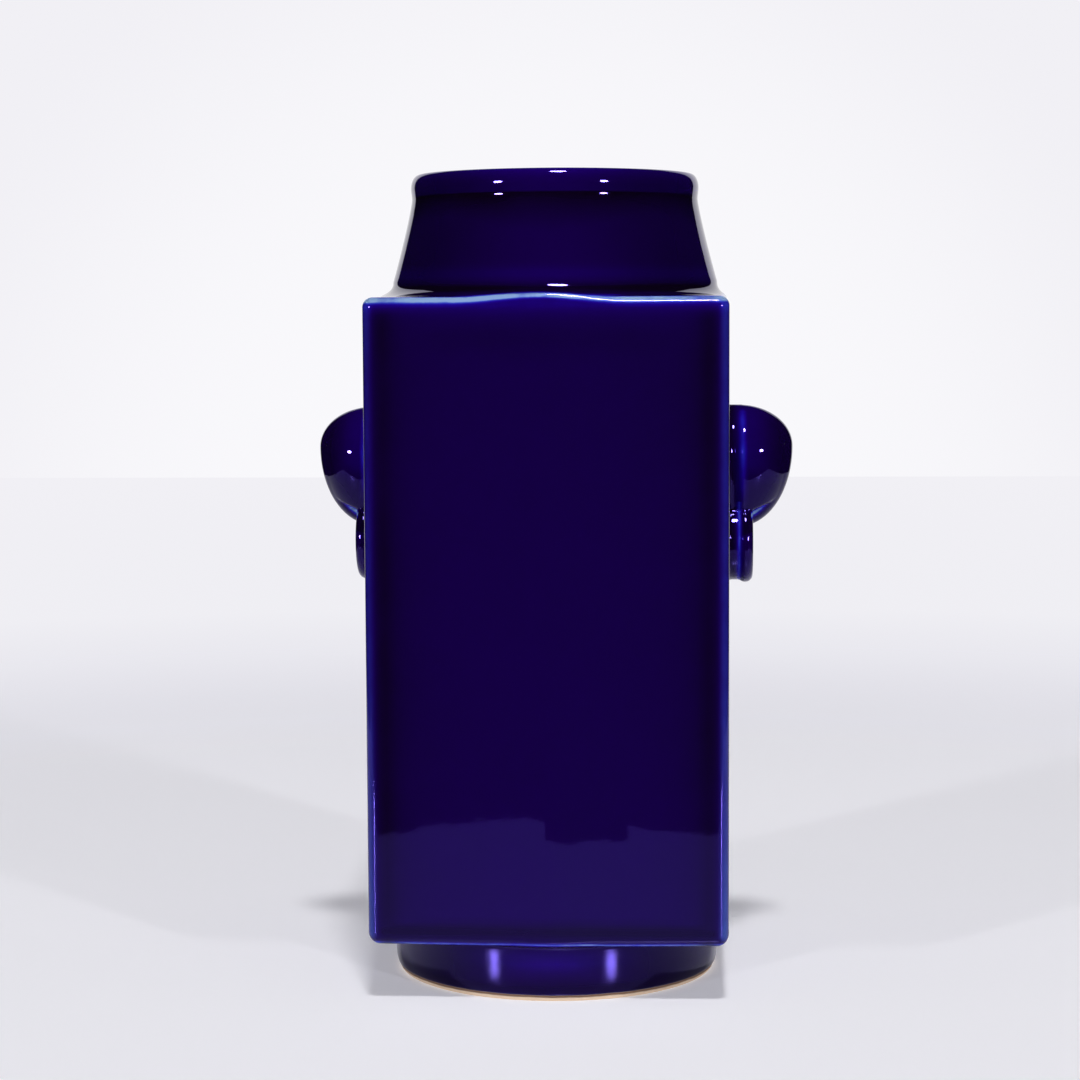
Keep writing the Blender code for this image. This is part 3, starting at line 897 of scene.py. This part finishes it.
def add_ring(bm):
    """The ring and the web behind it, turned about the ring's own axis."""
    middle = RING_RADIUS - RING_THICKNESS
    web = RING_THICKNESS - 0.9 * MM
    outline = [(HALF - 3.0 * MM, middle - web), (HALF - 3.0 * MM, middle + web)]
    for step in range(25):
        angle = math.radians(-138 + 276 * step / 24)
        out = RING_OUT + RING_THICKNESS * math.cos(angle)
        outline.append((out, middle - RING_THICKNESS * math.sin(angle)))
    verts = [bm.verts.new((x, 0, RING_HEIGHT + out)) for x, out in outline]
    edges = [bm.edges.new((verts[index - 1], verts[index])) for index in range(len(verts))]
    centre = (RING_OUT, 0, RING_HEIGHT)
    bmesh.ops.spin(
        bm,
        geom=verts + edges,
        cent=centre,
        axis=(1, 0, 0),
        angle=2 * math.pi,
        steps=96,
        use_merge=True,
    )


bm = bmesh.new()
bm.from_mesh(thrown("head", HEAD_STEPS, head_rings()))
cut_jaw(bm)
bm.from_mesh(thrown("trunk", TRUNK_STEPS, trunk_rings()))
add_ring(bm)
# A piece of the wall goes in too, so that the joins to it are smoothed, and is pared off again.
wall_place = Matrix.Translation((HALF - 2.0 * MM, 0, 173 * MM))
wall_piece = Matrix.Diagonal((4 * MM, 46 * MM, 90 * MM, 1))
bmesh.ops.create_cube(bm, size=1.0, matrix=wall_place @ wall_piece)
bmesh.ops.recalc_face_normals(bm, faces=bm.faces)
pressed = bpy.data.meshes.new("pressed_handle")
bm.to_mesh(pressed)
bm.free()
moulded = add_object("moulded_handle", pressed)
joined = moulded.modifiers.new("luted together", "REMESH")
joined.mode = "VOXEL"
joined.voxel_size = CLAY_GRAIN
joined.use_smooth_shade = True
wiped = moulded.modifiers.new("wiped with a damp brush", "SMOOTH")
wiped.factor = 0.5
wiped.iterations = 14
handle_mesh = bpy.data.meshes.new_from_object(
    moulded.evaluated_get(bpy.context.evaluated_depsgraph_get())
)
bpy.data.objects.remove(moulded)

bm = bmesh.new()
bm.from_mesh(handle_mesh)
bmesh.ops.bisect_plane(
    bm,
    geom=bm.verts[:] + bm.edges[:] + bm.faces[:],
    plane_co=(HALF + 0.03 * MM, 0, 0),
    plane_no=(-1, 0, 0),
    clear_outer=True,
)
rim = [edge for edge in bm.edges if edge.is_boundary]
grown = bmesh.ops.extrude_edge_only(bm, edges=rim)["geom"]
inner_rim = [item for item in grown if isinstance(item, bmesh.types.BMVert)]
bmesh.ops.translate(bm, vec=(-2 * MM, 0, 0), verts=inner_rim)
bmesh.ops.holes_fill(bm, edges=[edge for edge in bm.edges if edge.is_boundary])
bmesh.ops.recalc_face_normals(bm, faces=bm.faces)
for vert in bm.verts:
    share = (vert.co.z - BODY_BOTTOM) / (BODY_TOP - BODY_BOTTOM)
    vert.co.x += FACE_SWELL * math.sin(math.pi * share) * math.cos(math.pi / 2 * vert.co.y / HALF)
for face in bm.faces:
    face.smooth = True
bm.to_mesh(handle_mesh)
bm.free()


def glaze_by_curve(mesh):
    """Keeps, from how the clay bends, where the glaze ran thin and pooled, and the painted shade.
    """
    count = len(mesh.vertices)
    places = measured(mesh.vertices, "co", 3)
    normals = measured(mesh.vertices, "normal", 3)
    first, second = measured(mesh.edges, "vertices", 2, np.int64).T
    near = np.bincount(first, minlength=count) + np.bincount(second, minlength=count)
    near = np.maximum(near, 1)

    def average(at_first, at_second):
        """For each point the average over its edges of what they give to either end."""
        return (np.bincount(first, at_first, count) + np.bincount(second, at_second, count)) / near

    def around(value):
        return average(value[second], value[first])

    middle = np.column_stack([around(places[:, axis]) for axis in range(3)])
    span = np.linalg.norm(places[first] - places[second], axis=1) ** 2
    bend = ((places - middle) * normals).sum(1) / np.maximum(average(span, span), 1e-12)
    bend = 2 * bend * MM
    for step in range(12):
        bend = 0.5 * bend + 0.5 * around(bend)
    out, side, up = (places / MM).T
    jaw = (JAW_HEIGHT + JAW_CURVE * np.clip(places[:, 0] - JAW_PLANE, 0, None) ** 2) / MM
    wall, ear_plane = HALF / MM, EAR_PLANE / MM
    ear = 0.38 + 0.22 * bump(up, 201, 3.5) + 0.26 * bump(up, 190, 6)
    ear *= bump(out, ear_plane, 1.7) * np.clip((up - 166) / 12, 0, 1)
    ear *= np.clip((abs(side) - 2) / 3, 0, 1)
    ear_glow = 0.13 * bump(out, ear_plane + 2, 5.0) * np.clip((up - 176) / 10, 0, 1)
    below_jaw = np.clip(jaw - up, 0, 1) * (out > wall + 4)
    spine = np.hypot(
        (places[:, 0] - HEAD_CENTRE) / (BROW - HEAD_CENTRE - TRUNK_THICKNESS),
        (places[:, 2] - HEAD_HEIGHT) / (HEAD_DROP - TRUNK_THICKNESS),
    )
    trunk_ridge = 0.98 * bump(spine, 0.985, 0.045) * below_jaw
    trunk_ridge *= (abs(side) > 2.5) * (out > wall + 8.5)
    from_ring = np.hypot(side, up - RING_HEIGHT / MM)
    ring_edge = 0.68 * bump(out, wall + 4.3, 0.9)
    ring_edge *= (from_ring > RING_RADIUS / MM - 2.0) * (up < 172)
    bulging = np.clip((bend - 0.25) / 1.2, 0, 0.5)
    pale = np.maximum.reduce([bulging, ear, ear_glow, trunk_ridge, ring_edge])
    # Painted shade between the ears and the wall.
    behind = 0.85 * np.clip((ear_plane - 1.4 - out) / 2.4, 0, 1)
    # The lower cheeks and the outer head are painted darker.
    cheek = 0.7 * np.clip((186 - up) / 8, 0, 1) * (out > ear_plane) * (up > jaw)
    outer = 0.55 * np.clip((out - ear_plane - 7) / 6, 0, 1) * (up > jaw)
    # Painted shade inside the trunk's curl.
    in_curl = 0.7 * below_jaw * (spine < 1.2)
    hollows_and_shade = np.maximum.reduce([-bend / 0.4, behind, cheek, outer, in_curl])
    keep(mesh, "thin_and_sheen", pale)
    keep(mesh, "pooled_and_shaded", np.clip(hollows_and_shade, 0, 1) * (1 - np.clip(pale * 3, 0, 1)))


def press_eyes(mesh):
    """A small round eye in low relief on either side of the forehead."""
    for vert in mesh.vertices:
        if vert.co.x < EYE_OUT - 4 * MM or vert.co.z < HEAD_HEIGHT - 4 * MM:
            continue
        place = (vert.co.x, abs(vert.co.y), vert.co.z)
        reach = math.dist(place, (EYE_OUT, EYE_SIDE, EYE_HEIGHT)) / MM
        rise = 0.45 * bump(reach, 0, 0.9) - 0.2 * bump(reach, 1.7, 0.5)
        vert.co += vert.normal * (rise * MM)


press_eyes(handle_mesh)
glaze_by_curve(handle_mesh)
handle_mesh.materials.clear()
right_handle = add_object("handle_right", handle_mesh, glaze)
bm = bmesh.new()
bm.from_mesh(handle_mesh)
root = Matrix.Translation((-HALF, 0, -LUTED_HEIGHT))
bmesh.ops.scale(bm, vec=(LEFT_SCALE, LEFT_SCALE, LEFT_SCALE), space=root, verts=bm.verts)
bmesh.ops.scale(bm, vec=(-1, 1, 1), verts=bm.verts)
bmesh.ops.reverse_faces(bm, faces=bm.faces)
left_mesh = bpy.data.meshes.new("handle_left")
bm.to_mesh(left_mesh)
bm.free()
left_handle = add_object("handle_left", left_mesh, glaze)
for handle in (right_handle, left_handle):
    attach(handle, "root")
    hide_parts("vase")
